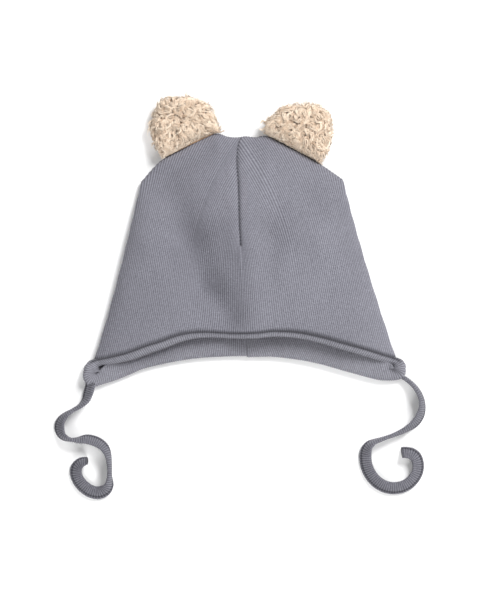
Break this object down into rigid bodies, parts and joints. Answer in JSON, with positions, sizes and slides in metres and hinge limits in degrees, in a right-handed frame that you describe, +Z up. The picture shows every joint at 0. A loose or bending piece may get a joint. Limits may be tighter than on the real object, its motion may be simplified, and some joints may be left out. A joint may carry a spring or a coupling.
{
  "type": "baby hat with ears",
  "caption": "Baby's rib jersey pilot hat with rolled brim, plush ears on the top seam and flat ties, lying on its back with its face opening open.",
  "frame": {"origin": "on the table under the middle of the hat without its ties, which is the middle of that box's underside", "axes": "+Z up from the table the hat lies on, +Y from the face opening to the top of the head, +X to the right as seen from above"},
  "size_m": [0.2434, 0.2624, 0.0199],
  "materials": {
    "rib_jersey": "matt fine rib cotton jersey, blue-grey",
    "rib_binding": "matt fine rib cotton jersey, blue-grey, rolled or folded",
    "teddy_plush": "curly beige teddy plush, matt"
  },
  "bodies": {
    "root": {"crown": "rib_jersey", "brim_band": "rib_binding", "ear_left": "teddy_plush", "ear_right": "teddy_plush", "tie_left": "rib_binding", "tie_right": "rib_binding"}
  },
  "joints": []
}
